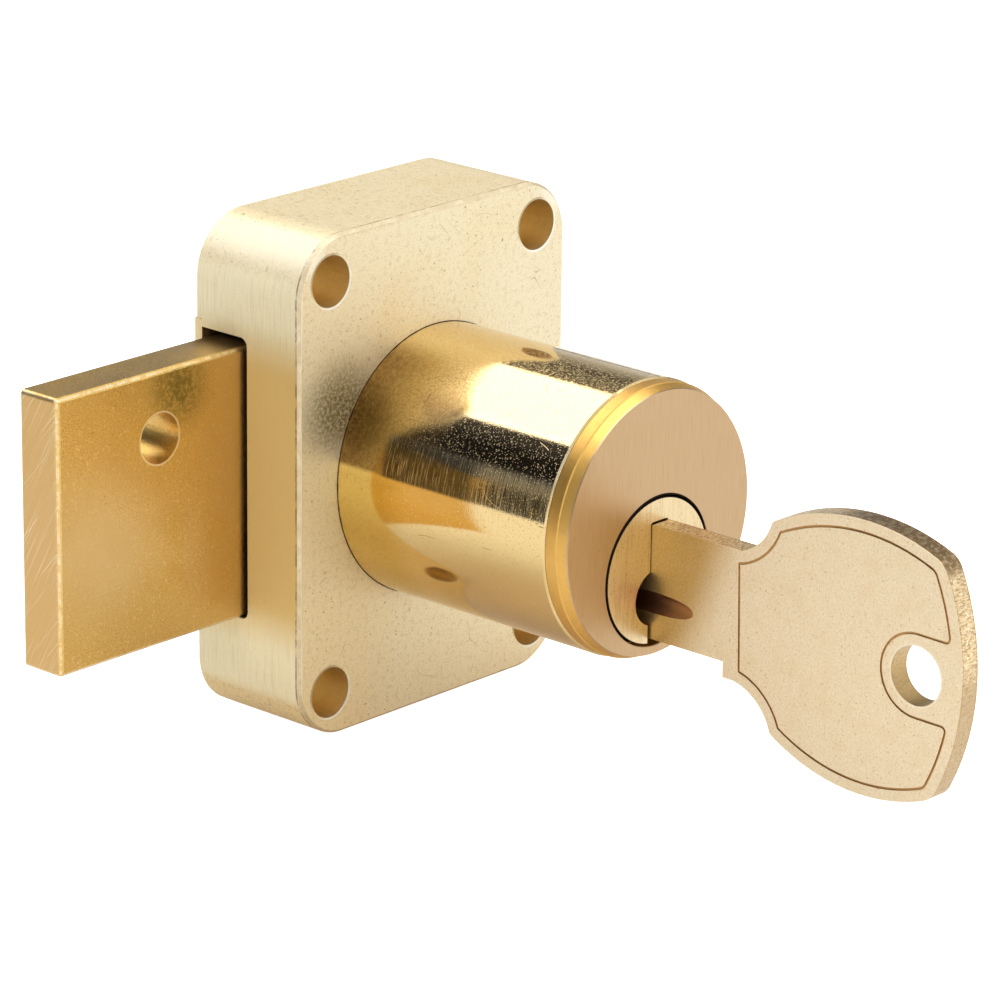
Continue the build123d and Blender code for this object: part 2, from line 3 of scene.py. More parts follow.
import bpy
from mathutils import Matrix, Vector


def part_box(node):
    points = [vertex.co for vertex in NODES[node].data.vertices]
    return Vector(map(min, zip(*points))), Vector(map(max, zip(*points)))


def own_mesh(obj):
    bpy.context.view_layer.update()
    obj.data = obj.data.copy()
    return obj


# Brass rim lock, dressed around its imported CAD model. Metres, Z up, the door side faces -Y.

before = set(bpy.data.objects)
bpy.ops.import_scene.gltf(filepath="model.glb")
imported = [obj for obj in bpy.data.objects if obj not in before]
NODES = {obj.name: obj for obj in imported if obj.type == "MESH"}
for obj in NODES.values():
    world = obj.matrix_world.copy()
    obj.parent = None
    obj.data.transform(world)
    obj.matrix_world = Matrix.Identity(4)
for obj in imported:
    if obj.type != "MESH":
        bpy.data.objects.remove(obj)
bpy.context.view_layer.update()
MM = 0.001

# Camera of the photograph: a long lens, with nothing shifted
CAMERA_PLACE = Vector((-286.05, -266.86, 125.86)) * MM
CAMERA_TURN = radians(47.768)
CAMERA_DIP = radians(18.309)
CAMERA_ROLL = radians(0.734)
CAMERA_LENS = 184.69
SENSOR = 36.0

# Studio: a white panel overhead towards the back, a grey room behind it, and light air in front.
# The panel's edges are given for a height of 1 above the lock, and the turns from one side to
# another as parts of a unit direction.
PANEL_LEFT = -0.50
PANEL_RIGHT = 0.67
PANEL_NEAR = -0.6
PANEL_FAR = 1.06
PANEL_EDGE = 0.02
PANEL_POWER = 3.0
HORIZON = 0.01
FRONT_LEFT_POWER = 0.90
FRONT_RIGHT_POWER = 0.95
FRONT_TURN = (0.0, 0.45)
BACK_TURN = (-0.1, 0.3)
FRONT_TO_BACK = (-0.3, 0.1)
# How grey the back is to the left and right of the lock, by degrees above the horizon
BACK_LEFT = [(-5, 0.13), (2, 0.13), (9, 0.10), (12, 0.16), (15, 0.29), (20, 0.27), (24, 0.015), (34, 0.015),
             (40, 0.06)]
BACK_RIGHT = [(-5, 0.55), (0, 0.58), (6, 0.56), (12, 0.42), (18, 0.27), (24, 0.08), (30, 0.14), (40, 0.20)]

# Floor: white paper on a table that ends behind the lock
FLOOR_HALF = 3.0
FLOOR_WHITE = 0.62
FLOOR_GLOW = 0.26
FLOOR_SEEN_GLOW = 1.0
TABLE_END = 0.30
TABLE_EDGE = 0.005
PAST_TABLE = 0.10
PAST_TABLE_GLOW = 1.2
SHADE_IN = 0.012
SHADE_OUT = 0.030
SHADE_COLOUR = (0.50, 0.38, 0.24, 1.0)
SHADE_CENTRE = (0.0, -0.003, 0.0)
SHADE_GLOW = 0.18

# Places on the lock, read from the imported CAD model
CASE_LOW, CASE_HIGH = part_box("case")
BOLT_LOW, BOLT_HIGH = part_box("bolt")
KEY_LOW, KEY_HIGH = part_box("key")
SLEEVE_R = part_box("cylinder_sleeve")[1].x
HEAD_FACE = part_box("cylinder_shell")[0].y
PLUG_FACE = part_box("plug")[0].y

# The same sizes as the CAD model's
FIXING_X = 11.87 * MM
FIXING_Z = 16.96 * MM
FIXING_R = 2.1 * MM
EDGE = 0.25 * MM
BOLT_EYE = Vector((-24.43, 0.0, 5.69)) * MM
BOLT_EYE_R = 2.05 * MM
KEY_EYE = Vector((0.12, -49.797, -5.622)) * MM
KEY_EYE_R = 2.35 * MM
BORDER_DEPTH = 0.12 * MM
GROOVE_Z = -6.2 * MM
GROOVE_R = 0.9 * MM
HEAD_SIDE = 0.12 * MM
PLUG_Z = -3.88 * MM
PLUG_GAP_IN = 5.90 * MM
PLUG_GAP_OUT = 6.10 * MM
KEY_MIDDLE = (KEY_LOW.x + KEY_HIGH.x) / 2
KEY_HALF = (KEY_HIGH.x - KEY_LOW.x) / 2
GROOVE_END = KEY_LOW.y + 26 * MM

# Places of wear and tarnish, and of painted light, shade and reflections, as in the photograph
SKIN = 0.02 * MM
CASE_SIDE = CASE_HIGH.x - 0.3 * MM
CASE_FRONT = 0.06 * MM
CHANNEL_SHADE_MARGIN = 0.5 * MM
CASE_REFLECTION = Vector((-10.9, 0.0, 6.4)) * MM
BOLT_CLOUD = Vector((-31.0, 0.0, -1.5)) * MM
BOLT_SMUDGE = Vector((-22.2, 0.0, 9.3)) * MM
SPOT_LEFT = radians(44.0)
SPOT_Y = -8.1 * MM
BOLT_WORN = 0.26 * MM
GAP_CENTRE = Vector((-0.09, 0.0, -3.76)) * MM
GAP_SHADE = (0.03, 0.02, 0.015)
CREST_END = -42.5 * MM
CREST_LOW = 2.8 * MM
REFLECTION_SLANT = 0.35
REFLECTION_FROM = -33.0 * MM
REFLECTION_FULL = -28.6 * MM


class Nodes:
    """A node tree, with short names for what is added to it."""

    def __init__(self, tree):
        self.tree = tree

    def put(self, socket, value):
        """Links a socket to another one, or gives it a constant."""
        if isinstance(value, bpy.types.NodeSocket):
            self.tree.links.new(value, socket)
        else:
            socket.default_value = value

    def node(self, kind, **inputs):
        made = self.tree.nodes.new(kind)
        for key, value in inputs.items():
            self.put(made.inputs[key.replace("_", " ")], value)
        return made

    def math(self, kind, *values):
        made = self.node("ShaderNodeMath")
        made.operation = kind
        for socket, value in zip(made.inputs, values):
            self.put(socket, value)
        return made.outputs[0]

    def both(self, first, second):
        return self.math("MULTIPLY", first, second)

    def either(self, first, second):
        return self.math("MAXIMUM", first, second)

    def window(self, value, low, high, flat=0.0, full=1.0, curve="SMOOTHSTEP"):
        """A value's stretch from low to high, spread over flat to full."""
        ends = {"From_Min": low, "From_Max": high, "To_Min": flat, "To_Max": full}
        made = self.node("ShaderNodeMapRange", Value=value, **ends)
        made.interpolation_type = curve
        return made.outputs[0]

    def band(self, value, rise, fall, full=1.0):
        """From 0 to full over one stretch of a value, and back to 0 over a later one."""
        return self.both(self.window(value, *rise, 0.0, full), self.window(value, *fall, 1.0, 0.0))

    def blend(self, amount, first, second, how="MIX"):
        """One colour laid over another by an amount from 0 to 1."""
        made = self.node("ShaderNodeMix", Factor=amount)
        made.data_type = "RGBA"
        made.blend_type = how
        self.put(made.inputs[6], first)
        self.put(made.inputs[7], second)
        return made.outputs[2]


class Finish(Nodes):
    """One material: a metal surface whose parts are added as layers of nodes."""

    def __init__(self, name, colour, roughness):
        self.material = bpy.data.materials.new(name)
        self.material.use_nodes = True
        super().__init__(self.material.node_tree)
        self.colour = (*colour, 1.0)
        self.roughness = roughness
        self.height = None
        self.shader = self.tree.nodes["Principled BSDF"]
        self.shader.inputs["Metallic"].default_value = 1.0
        self.shader.inputs["Roughness"].default_value = self.roughness
        self.shader.inputs["Base Color"].default_value = self.colour
        self.place = self.node("ShaderNodeTexCoord").outputs["Object"]
        self.x, self.y, self.z = self.node("ShaderNodeSeparateXYZ", Vector=self.place).outputs

    def drawn_out(self, sizes, turn=(0.0, 0.0, 0.0), place=None):
        """Coordinates for a noise of size 1 whose lumps have these sizes along the turned axes."""
        made = self.node("ShaderNodeMapping", Vector=place or self.place)
        made.vector_type = "TEXTURE"
        made.inputs["Scale"].default_value = sizes
        made.inputs["Rotation"].default_value = turn
        return made.outputs[0]

    def noise(self, size, detail=3.0, rough=0.5, place=None):
        """Cloudy noise whose lumps are about this many metres across."""
        made = self.node("ShaderNodeTexNoise", Vector=place or self.place)
        made.inputs["Scale"].default_value = 1.0 / size
        made.inputs["Detail"].default_value = detail
        made.inputs["Roughness"].default_value = rough
        return made.outputs[0]

    def tint(self, amount, colour, how="MIX"):
        """Moves the colour towards another by an amount from 0 to 1."""
        self.colour = self.blend(amount, self.colour, (*colour, 1.0), how)

    def roughen(self, amount, value):
        """Moves the roughness towards a value by an amount from 0 to 1."""
        made = self.node("ShaderNodeMix", Factor=amount)
        self.put(made.inputs[2], self.roughness)
        self.put(made.inputs[3], value)
        self.roughness = made.outputs[0]

    def raise_by(self, amount, metres):
        """Adds to the surface's relief."""
        part = self.both(amount, metres)
        self.height = part if self.height is None else self.math("ADD", self.height, part)

    def done(self):
        """Joins the layers to the shader."""
        self.put(self.shader.inputs["Base Color"], self.colour)
        self.put(self.shader.inputs["Roughness"], self.roughness)
        bump = self.node("ShaderNodeBump", Strength=1.0, Distance=1.0, Height=self.height)
        self.put(self.shader.inputs["Normal"], bump.outputs[0])
        return self.material

    def lines(self, size, width, place=None):
        """Thin wandering lines, where a smooth noise crosses its middle."""
        wave = self.noise(size, detail=0.0, place=place)
        off = self.math("ABSOLUTE", self.math("SUBTRACT", wave, 0.5))
        return self.window(off, 0.0, width, 1.0, 0.0)

    def specks(self, size, share, place=None):
        """Small dots, where a noise is at its highest."""
        return self.window(self.noise(size, detail=1.0, place=place), share, share + 0.04)

    def aside(self, value, centre):
        """How far a coordinate is from a place on its axis."""
        return self.math("ABSOLUTE", self.math("SUBTRACT", value, centre))

    def from_axis(self, across, up, across_at, up_at):
        """The distance from a straight line along the third axis."""
        away = self.math("SUBTRACT", across, across_at)
        rise = self.math("SUBTRACT", up, up_at)
        squares = self.math("ADD", self.math("POWER", away, 2.0), self.math("POWER", rise, 2.0))
        return self.math("SQRT", squares)

    def within(self, value, limit, soft=SKIN):
        """1 where a value is under a limit, and 0 past it."""
        return self.window(value, limit - soft, limit + soft, 1.0, 0.0)

    def beyond(self, value, limit, soft=SKIN):
        """0 where a value is under a limit, and 1 past it."""
        return self.window(value, limit - soft, limit + soft)

    def unroll(self, radius):
        """Adds places on the wall of a cylinder along Y: laid flat, and in degrees left of its top."""
        turn = self.math("ARCTAN2", self.x, self.z)
        self.flat = self.node("ShaderNodeCombineXYZ", X=self.both(turn, radius), Y=self.y).outputs[0]
        self.left = self.both(turn, -degrees(1.0))

    def mottle(self, size, low, high, flat=0.0, full=1.0, detail=2.0, place=None):
        """Irregular patches, from flat to full."""
        return self.window(self.noise(size, detail=detail, rough=0.65, place=place), low, high, flat, full)


def case_skin(finish):
    """A pale satin skin with fine grain, pits and stray scratches. Painted light makes it lighter and
    yellower towards its foot, and golden low on the left.
    """
    cloud = finish.noise(7 * MM, detail=4.0)
    finish.tint(finish.window(cloud, 0.46, 0.66, 0.0, 0.5), (0.91, 0.78, 0.52))
    # Painted light: lighter and yellower towards the foot, and golden low on the left
    finish.tint(finish.window(finish.z, -18 * MM, 10 * MM, 0.9, 0.0), (1.0, 0.91, 0.66))
    low_left = finish.window(finish.z, -14 * MM, 4 * MM, 0.6, 0.0)
    low_left = finish.both(low_left, finish.within(finish.x, -6 * MM, 4 * MM))
    finish.tint(low_left, (0.94, 0.79, 0.47))
    grain = finish.noise(0.15 * MM, detail=3.0, rough=0.7)
    finish.tint(finish.window(grain, 0.48, 0.68, 0.0, 0.34), (0.56, 0.42, 0.22))
    finish.raise_by(grain, 0.026 * MM)
    finish.tint(finish.mottle(0.5 * MM, 0.50, 0.68, 0.0, 0.22), (0.62, 0.46, 0.24))
    finish.tint(finish.mottle(0.22 * MM, 0.58, 0.70, 0.0, 0.35), (1.0, 0.96, 0.82))
    pits = finish.both(finish.specks(0.32 * MM, 0.68), finish.window(cloud, 0.35, 0.6))
    finish.tint(finish.both(pits, 0.6), (0.36, 0.24, 0.10))
    finish.raise_by(pits, -0.02 * MM)
    scratch = finish.lines(5 * MM, 0.004, finish.drawn_out((1.0, 4.0, 1.0), (0.4, 0.3, 0.5)))
    scratch = finish.both(scratch, finish.window(finish.noise(2.2 * MM), 0.55, 0.62))
    finish.tint(finish.both(scratch, 0.5), (0.50, 0.34, 0.15))
    finish.raise_by(scratch, -0.008 * MM)


def case_sides(finish):
    """The sides were rubbed up and down. Painted light makes them paler, and a painted reflection of the bolt
    makes them golden beside it.
    """
    side = finish.beyond(finish.aside(finish.x, 0.0), CASE_SIDE, 0.2 * MM)
    # Painted light: the sides paler
    finish.tint(finish.both(side, 0.85), (1.0, 0.95, 0.76))
    rubbed = finish.noise(1.0, detail=3.0, place=finish.drawn_out((MM, 0.16 * MM, 3 * MM)))
    finish.tint(finish.both(side, finish.window(rubbed, 0.48, 0.74, 0.0, 0.15)), (0.66, 0.50, 0.27))
    # Painted reflection of the bolt: golden beside it
    bolt_reflection = finish.window(finish.aside(finish.z, 0.0), 9 * MM, 14 * MM, 0.88, 0.0)
    bolt_reflection = finish.both(bolt_reflection, finish.within(finish.x, 0.0))
    finish.tint(finish.both(side, bolt_reflection), (0.83, 0.64, 0.27))
    round_side = finish.window(finish.aside(finish.x, 0.0), 10.5 * MM, 14.5 * MM)
    round_side = finish.both(round_side, finish.beyond(finish.y, EDGE))
    finish.roughen(round_side, 0.85)


def case_top(finish):
    """Painted shade makes the top a little greyer, and a painted highlight makes its corners pale."""
    # Painted shade on the top
    over = finish.beyond(finish.z, CASE_HIGH.z - 0.3 * MM, 0.2 * MM)
    finish.tint(over, (0.88, 0.84, 0.77), "MULTIPLY")
    # Painted highlight on the rounded corners
    corner = finish.window(finish.aside(finish.x, 0.0), 11.5 * MM, 14 * MM)
    corner = finish.both(corner, finish.window(finish.z, 16.8 * MM, 19 * MM, 0.0, 0.8))
    finish.tint(corner, (1.0, 0.96, 0.82))


def case_painted_reflection(finish):
    """A painted reflection of the sleeve's dark band on the front, up against the sleeve, mottled."""
    front = finish.within(finish.y, CASE_FRONT)
    mirrored = finish.from_axis(finish.x, finish.z, CASE_REFLECTION.x, CASE_REFLECTION.z)
    mirrored = finish.window(mirrored, 0.8 * MM, 5.6 * MM, 1.0, 0.0)
    mirrored = finish.both(mirrored, finish.window(finish.z, 1.4 * MM, 4.6 * MM))
    mirrored = finish.both(mirrored, finish.mottle(0.28 * MM, 0.36, 0.60, 0.45, 1.0))
    # Painted reflection of the sleeve's dark band
    finish.tint(finish.both(finish.both(mirrored, front), 0.87), (0.22, 0.16, 0.03))


def case_edge(finish):
    """The front edge's chamfer is darkened with painted shade, which dims its reflection; it is rubbed bright
    in places, with a broken dark line beside it.
    """
    chamfer_band = finish.both(finish.within(finish.y, EDGE), finish.beyond(finish.y, 0.02 * MM))
    # Painted shade on the chamfer, dimming its reflection
    finish.tint(chamfer_band, (0.72, 0.60, 0.40))
    worn = finish.both(chamfer_band, finish.mottle(1.4 * MM, 0.40, 0.70, 0.0, 0.6, detail=5.0))
    finish.tint(worn, (0.94, 0.85, 0.64))
    finish.roughen(worn, 0.50)
    line = finish.within(finish.aside(finish.y, 1.5 * EDGE), 0.35 * EDGE)
    finish.tint(finish.both(line, finish.mottle(MM, 0.38, 0.62, 0.10, 0.7, detail=4.0)), (0.38, 0.25, 0.11))


def case_bores(finish):
    """The bores are a deeper gold, painted light that stands in for light bounced round inside them. Their
    rims have a painted highlight on one side and painted shade on the other.
    """
    across = finish.math("SUBTRACT", finish.aside(finish.x, 0.0), FIXING_X)
    across = finish.both(finish.math("SIGN", finish.x), across)
    rise = finish.math("SUBTRACT", finish.aside(finish.z, 0.0), FIXING_Z)
    rise = finish.both(finish.math("SIGN", finish.z), rise)
    hole = finish.from_axis(across, rise, 0.0, 0.0)
    bore = finish.both(finish.within(hole, FIXING_R + 0.03 * MM), finish.beyond(finish.y, CASE_FRONT))
    # Painted light: deeper gold inside the bores
    finish.tint(bore, (1.0, 0.79, 0.42))
    finish.tint(finish.both(bore, finish.mottle(0.5 * MM, 0.48, 0.62, 0.0, 0.12)), (0.75, 0.52, 0.24))
    finish.roughen(bore, 0.42)
    ring = finish.both(finish.within(hole, FIXING_R + 0.17 * MM), finish.within(finish.y, CASE_FRONT))
    slant = finish.math("SUBTRACT", across, rise)
    # Painted highlight on one side of each rim, painted shade on the other
    finish.tint(finish.both(ring, finish.window(slant, 0.0, 2.2 * MM)), (1.0, 0.98, 0.90))
    finish.tint(finish.both(ring, finish.window(slant, -2.4 * MM, -0.4 * MM, 0.55, 0.0)), (0.35, 0.22, 0.09))


def case_channel(finish):
    """The bolt's channel is painted dark, as shade in the recess."""
    channel = finish.within(finish.aside(finish.z, 0.0), BOLT_HIGH.z + CHANNEL_SHADE_MARGIN)
    channel = finish.both(channel, finish.beyond(finish.y, BOLT_LOW.y - CHANNEL_SHADE_MARGIN))
    channel = finish.both(channel, finish.within(finish.y, CASE_HIGH.y - 0.2 * MM))
    channel = finish.both(channel, finish.beyond(finish.x, CASE_LOW.x + 0.22 * MM))
    channel = finish.both(channel, finish.within(finish.x, CASE_SIDE))
    # Painted shade in the channel
    finish.tint(finish.both(channel, 0.92), (0.05, 0.035, 0.02))


def case_brass():
    """The case, one layer after another."""
    finish = Finish("case_brass", (0.93, 0.84, 0.62), 0.60)
    for layer in (case_skin, case_sides, case_top, case_painted_reflection, case_edge, case_bores, case_channel):
        layer(finish)
    return finish.done()


def plate_brass():
    """The back's cover: rolled sheet with fine upright lines, stray scratches and a little tarnish."""
    finish = Finish("plate_brass", (0.80, 0.64, 0.37), 0.38)
    cloud = finish.noise(9 * MM, detail=4.0)
    finish.tint(finish.window(cloud, 0.42, 0.66, 0.0, 0.7), (0.70, 0.52, 0.26))
    rolled = finish.noise(1.0, detail=3.0, rough=0.6, place=finish.drawn_out((0.14 * MM, MM, 14 * MM)))
    finish.tint(finish.window(rolled, 0.46, 0.70, 0.0, 0.5), (0.55, 0.40, 0.20))
    finish.raise_by(rolled, 0.005 * MM)
    grain = finish.noise(0.15 * MM, detail=3.0, rough=0.7)
    finish.tint(finish.window(grain, 0.50, 0.70, 0.0, 0.4), (0.46, 0.32, 0.14))
    finish.raise_by(grain, 0.008 * MM)
    scratch = finish.lines(6 * MM, 0.004, finish.drawn_out((3.0, 1.0, 1.0), (0.0, 0.6, 0.0)))
    scratch = finish.both(scratch, finish.mottle(3 * MM, 0.50, 0.58))
    finish.tint(finish.both(scratch, 0.6), (0.97, 0.86, 0.60))
    finish.raise_by(scratch, -0.006 * MM)
    spots = finish.both(finish.specks(0.5 * MM, 0.70), finish.window(cloud, 0.40, 0.60))
    finish.tint(finish.both(spots, 0.5), (0.36, 0.22, 0.08))
    return finish.done()


def bolt_skin(finish):
    """Rolled bar, glossy under a fine speckle."""
    cloud = finish.noise(5 * MM, detail=3.0)
    finish.tint(finish.window(cloud, 0.45, 0.68, 0.0, 0.8), (0.72, 0.44, 0.11))
    speck = finish.noise(0.15 * MM, detail=3.0, rough=0.7)
    finish.tint(finish.window(speck, 0.48, 0.66, 0.0, 0.6), (0.42, 0.25, 0.07))
    finish.raise_by(speck, 0.016 * MM)
    finish.tint(finish.mottle(0.24 * MM, 0.58, 0.68, 0.0, 0.45), (0.98, 0.76, 0.36))
    finish.raise_by(finish.noise(0.6 * MM, detail=3.0), 0.012 * MM)
    finish.roughen(finish.window(cloud, 0.35, 0.65), 0.34)


def bolt_shade_and_clouds(finish):
    """Painted shade beside the case and a painted shadow on the top there, paler across the middle, and an
    olive smudge above the eye.
    """
    # Painted shade beside the case
    finish.tint(finish.window(finish.x, -24 * MM, -15.2 * MM, 0.0, 0.65), (0.61, 0.46, 0.25))
    # Painted shadow on the top, by the case
    top_shadow = finish.beyond(finish.z, BOLT_HIGH.z - 0.05 * MM)
    top_shadow = finish.both(top_shadow, finish.window(finish.x, -18.6 * MM, -15.8 * MM, 0.0, 0.8))
    finish.tint(top_shadow, (0.16, 0.10, 0.04))
    pale = finish.from_axis(finish.x, finish.z, BOLT_CLOUD.x, BOLT_CLOUD.z)
    pale = finish.window(pale, 1.5 * MM, 9 * MM, 0.7, 0.0)
    finish.tint(pale, (0.80, 0.56, 0.25))
    face = finish.within(finish.y, BOLT_LOW.y + 0.1 * MM)
    smudge = finish.from_axis(finish.x, finish.z, BOLT_SMUDGE.x, BOLT_SMUDGE.z)
    smudge = finish.both(face, finish.window(smudge, 0.4 * MM, 4.2 * MM, 1.0, 0.0))
    smudge = finish.both(smudge, finish.mottle(0.3 * MM, 0.38, 0.58, 0.35, 1.0))
    finish.tint(finish.both(smudge, 0.9), (0.26, 0.21, 0.05))


def bolt_end(finish):
    """The end was sawn and filed, which left fine straight lines that slant."""
    end = finish.within(finish.x, BOLT_LOW.x + 0.1 * MM)
    finish.tint(finish.both(end, 0.85), (0.67, 0.43, 0.18))
    filed = finish.drawn_out((MM, 0.09 * MM, 9 * MM), (0.50, 0.0, 0.0))
    filed = finish.window(finish.noise(1.0, detail=2.0, place=filed), 0.56, 0.70, 0.0, 0.6)
    strays = finish.drawn_out((MM, 0.13 * MM, 12 * MM), (0.72, 0.0, 0.0))
    strays = finish.window(finish.noise(1.0, detail=2.0, place=strays), 0.66, 0.70)
    filed = finish.either(filed, strays)
    finish.tint(finish.both(finish.both(end, filed), 0.6), (1.0, 0.84, 0.58))
    finish.raise_by(finish.both(end, filed), 0.006 * MM)
    finish.roughen(end, 0.42)


def bolt_edges(finish):
    """The thin edges between the faces are worn bright, and the eye's rim has a painted highlight."""
    top = finish.aside(finish.z, (BOLT_LOW.z + BOLT_HIGH.z) / 2)
    near_top = finish.beyond(top, (BOLT_HIGH.z - BOLT_LOW.z) / 2 - BOLT_WORN)
    near_face = finish.within(finish.y, BOLT_LOW.y + BOLT_WORN)
    near_end = finish.within(finish.x, BOLT_LOW.x + BOLT_WORN)
    corner = finish.either(finish.both(near_top, near_face), finish.both(near_end, near_face))
    corner = finish.either(corner, finish.both(near_top, near_end))
    finish.tint(finish.both(corner, finish.mottle(0.6 * MM, 0.40, 0.60, 0.2, 0.7)), (0.98, 0.80, 0.50))
    # Painted highlight round the eye's rim
    eye = finish.from_axis(finish.x, finish.z, BOLT_EYE.x, BOLT_EYE.z)
    rim = finish.within(eye, BOLT_EYE_R + 0.14 * MM)
    rim = finish.both(rim, finish.within(finish.y, BOLT_LOW.y + 0.08 * MM))
    finish.tint(finish.both(rim, 0.8), (1.0, 0.86, 0.60))


def bolt_brass():
    """The bolt: a golden brown bar."""
    finish = Finish("bolt_brass", (0.77, 0.50, 0.15), 0.27)
    for layer in (bolt_skin, bolt_shade_and_clouds, bolt_end, bolt_edges):
        layer(finish)
    return finish.done()


def sleeve_light_and_shade(finish):
    """Painted shade makes the metal a little darker below and beside the case, and painted light makes it
    paler towards the upper left.
    """
    # Painted shade below and beside the case, and painted light on the upper left
    below = finish.band(finish.left, (86.0, 104.0), (106.0, 122.0))
    finish.tint(below, (0.84, 0.80, 0.72), "MULTIPLY")
    by_case = finish.both(finish.window(finish.left, 78.0, 84.0), finish.window(finish.y, -8 * MM, -4 * MM))
    finish.tint(by_case, (0.86, 0.82, 0.56), "MULTIPLY")
    upper = finish.band(finish.left, (16.0, 30.0), (78.0, 84.0))
    finish.tint(finish.both(upper, finish.window(finish.y, -8 * MM, -3 * MM)), (0.95, 0.94, 0.66), "MULTIPLY")
    pale = finish.band(finish.left, (42.0, 50.0), (62.0, 70.0), 0.7)
    finish.tint(finish.both(pale, finish.within(finish.y, -8 * MM, 2 * MM)), (0.64, 0.54, 0.38))


def turning_marks(finish):
    """Fine rings round the sleeve, each broken off here and there."""
    marks = finish.drawn_out((2.2 * MM, 0.10 * MM, MM), place=finish.flat)
    return finish.noise(1.0, detail=3.0, rough=0.6, place=marks)


def sleeve_polish(finish):
    """Buffed, with a little haze, turning marks, and pits that break up what it mirrors."""
    haze = finish.noise(4 * MM, detail=5.0, place=finish.flat)
    finish.roughen(finish.window(haze, 0.50, 0.74), 0.12)
    finish.raise_by(turning_marks(finish), 0.0010 * MM)
    finish.raise_by(finish.noise(0.17 * MM, detail=2.0, rough=0.6, place=finish.flat), 0.0026 * MM)
    pits = finish.specks(0.13 * MM, 0.665, place=finish.flat)
    pits = finish.either(pits, finish.specks(0.26 * MM, 0.67, place=finish.flat))
    pits = finish.both(pits, finish.mottle(0.7 * MM, 0.38, 0.58, 0.45, 1.0, place=finish.flat))
    finish.raise_by(pits, -0.015 * MM)
    crown = finish.window(finish.left, 15.0, 19.0, 1.0, 0.0)
    crown = finish.both(crown, finish.within(finish.y, -9 * MM, 2 * MM))
    coarse = finish.specks(0.17 * MM, 0.62, place=finish.flat)
    coarse = finish.either(coarse, finish.specks(0.3 * MM, 0.64, place=finish.flat))
    finish.raise_by(finish.both(crown, coarse), 0.010 * MM)


def sleeve_shade_and_spot(finish):
    """Painted shade and reflection on the upper left by the case, dark and mottled like the reflection
    painted on the case, and a rust brown spot beside it.
    """
    # Painted shade and reflection: dark mottled metal by the case, thinner at its outer edge
    shaded_side = finish.band(finish.left, (12.0, 32.0), (78.0, 80.6))
    dark_reflection = finish.both(shaded_side, finish.window(finish.y, -10 * MM, -0.5 * MM, 0.0, 1.0))
    blotch = finish.mottle(0.5 * MM, 0.36, 0.62, 0.80, 1.0, detail=5.0, place=finish.flat)
    dark_reflection = finish.both(dark_reflection, blotch)
    thin = finish.both(shaded_side, finish.window(finish.y, -10.8 * MM, -9 * MM))
    finish.roughen(finish.both(thin, 0.7), 0.22)
    thin = finish.both(thin, finish.mottle(0.22 * MM, 0.44, 0.60, 0.15, 0.6, place=finish.flat))
    finish.tint(thin, (0.38, 0.22, 0.08))
    finish.tint(finish.both(dark_reflection, 0.95), (0.19, 0.105, 0.035))
    # The spot is too dull to mirror the hole that lies before it
    spot = finish.both(finish.left, SLEEVE_R * radians(1.0))
    spot = finish.from_axis(spot, finish.y, SLEEVE_R * SPOT_LEFT, SPOT_Y)
    spot = finish.window(spot, 0.9 * MM, 2.1 * MM, 1.0, 0.0)
    finish.roughen(spot, 0.42)
    spot = finish.both(spot, finish.mottle(0.4 * MM, 0.40, 0.62, 0.2, 0.7, place=finish.flat))
    finish.tint(spot, (0.52, 0.31, 0.10))


def sleeve_flank(finish):
    """The left flank is dull with turning marks, and painted shade makes it dark towards the case."""
    marks = turning_marks(finish)
    flank = finish.band(finish.left, (60.0, 66.0), (79.0, 80.6))
    flank = finish.both(flank, finish.within(finish.y, -4.6 * MM, 0.5 * MM))
    inner = finish.both(flank, finish.beyond(finish.y, -14 * MM, 1.2 * MM))
    # Painted shade on the flank by the case
    finish.tint(finish.both(inner, 0.92), (0.080, 0.070, 0.050))
    finish.roughen(finish.both(flank, finish.window(marks, 0.52, 0.62)), 0.24)
    finish.tint(finish.both(flank, finish.window(marks, 0.38, 0.50, 0.85, 0.0)), (0.16, 0.12, 0.07))
    finish.tint(finish.both(flank, finish.window(marks, 0.53, 0.64, 0.0, 0.5)), (0.95, 0.84, 0.58))
    finish.raise_by(finish.both(flank, marks), 0.0022 * MM)


def sleeve_scratches(finish):
    """A few long scratches."""
    scratch = finish.lines(3.5 * MM, 0.0035, finish.drawn_out((1.0, 2.9, 1.0), place=finish.flat))
    scratch = finish.both(scratch, finish.mottle(2.5 * MM, 0.52, 0.58, place=finish.flat))
    finish.raise_by(scratch, 0.009 * MM)


def sleeve_seam(finish):
    """The seam against the case is dark."""
    seam = finish.beyond(finish.y, -0.13 * MM)
    seam = finish.both(seam, finish.mottle(MM, 0.40, 0.60, 0.5, 1.0, place=finish.flat))
    finish.tint(seam, (0.24, 0.13, 0.05))


def polished_brass():
    """The sleeve: a mirror with signs of use, and painted light, shade and reflection."""
    finish = Finish("polished_brass", (0.82, 0.61, 0.29), 0.055)
    finish.unroll(SLEEVE_R)
    for layer in (sleeve_light_and_shade, sleeve_polish, sleeve_shade_and_spot, sleeve_flank, sleeve_scratches, sleeve_seam):
        layer(finish)
    return finish.done()


def brushed(finish, size, height):
    """Vertical brush marks on a face that looks along Y."""
    marks = finish.noise(1.0, detail=3.0, rough=0.6, place=finish.drawn_out((size, size, 28 * size)))
    finish.raise_by(marks, height)
    return marks


